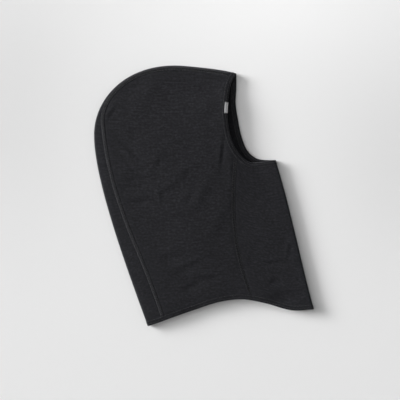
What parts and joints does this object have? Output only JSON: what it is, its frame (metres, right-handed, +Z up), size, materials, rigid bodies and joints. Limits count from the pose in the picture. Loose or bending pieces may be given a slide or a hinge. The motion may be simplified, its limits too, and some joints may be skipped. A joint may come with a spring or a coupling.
{
  "type": "balaclava",
  "caption": "Knitted balaclava lying flat on its side, with an open face, a curved neck hem, a gusset over the crown and flatlock seams.",
  "frame": {"origin": "middle of the footprint, on the surface the hood lies on", "axes": "+Z up, through the two layers of cloth; +Y towards the crown; +X towards the face opening. The wearer's right side is the upper layer."},
  "size_m": [0.339, 0.402, 0.0129],
  "materials": {
    "knit": "charcoal heathered interlock knit, matt",
    "hem_knit": "the same knit, turned twice and pressed, matt",
    "seam_thread": "textured thread, soft sheen",
    "label_weave": "plain light grey woven tape, satin"
  },
  "bodies": {
    "root": {"right_side_panel": "knit", "left_side_panel": "knit", "crown_gusset": "knit", "throat_panel": "knit", "right_gusset_seam": "seam_thread", "left_gusset_seam": "seam_thread", "right_throat_seam": "seam_thread", "left_throat_seam": "seam_thread", "face_opening_hem": "hem_knit", "neck_hem": "hem_knit", "face_coverstitch": "seam_thread", "neck_coverstitch": "seam_thread", "edge_label": "label_weave"}
  },
  "joints": []
}
